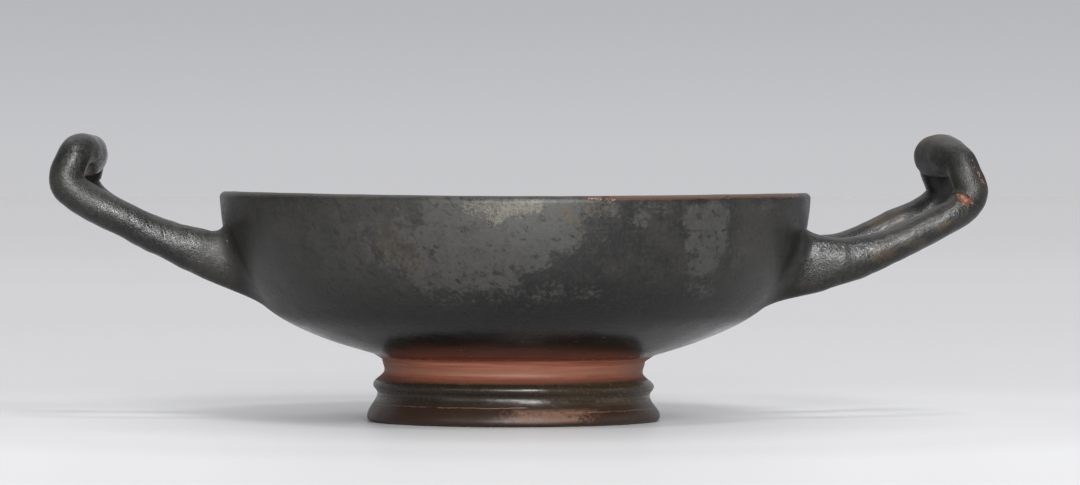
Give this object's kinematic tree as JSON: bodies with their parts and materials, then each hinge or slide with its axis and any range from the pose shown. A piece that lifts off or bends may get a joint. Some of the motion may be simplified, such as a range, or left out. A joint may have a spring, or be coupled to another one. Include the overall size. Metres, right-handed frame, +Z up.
{
  "type": "kylix cup",
  "caption": "Footed drinking cup of black-glossed clay: wide open bowl, ring foot with a red stem band, and two rising loop handles curled over at the top.",
  "frame": {"origin": "centre of the resting plane: under the middle of the overall box, on the bowl's axis, at the foot ring's lowest face", "axes": "+X from the bowl's axis towards the lower of the two handles, +Y across the bowl, +Z up along the bowl's axis"},
  "size_m": [0.2549, 0.1598, 0.0774],
  "materials": {
    "black_gloss": "semi-matt black slip gloss over fired clay, with the stem left red"
  },
  "bodies": {
    "root": {"kylix": "black_gloss"}
  },
  "joints": []
}
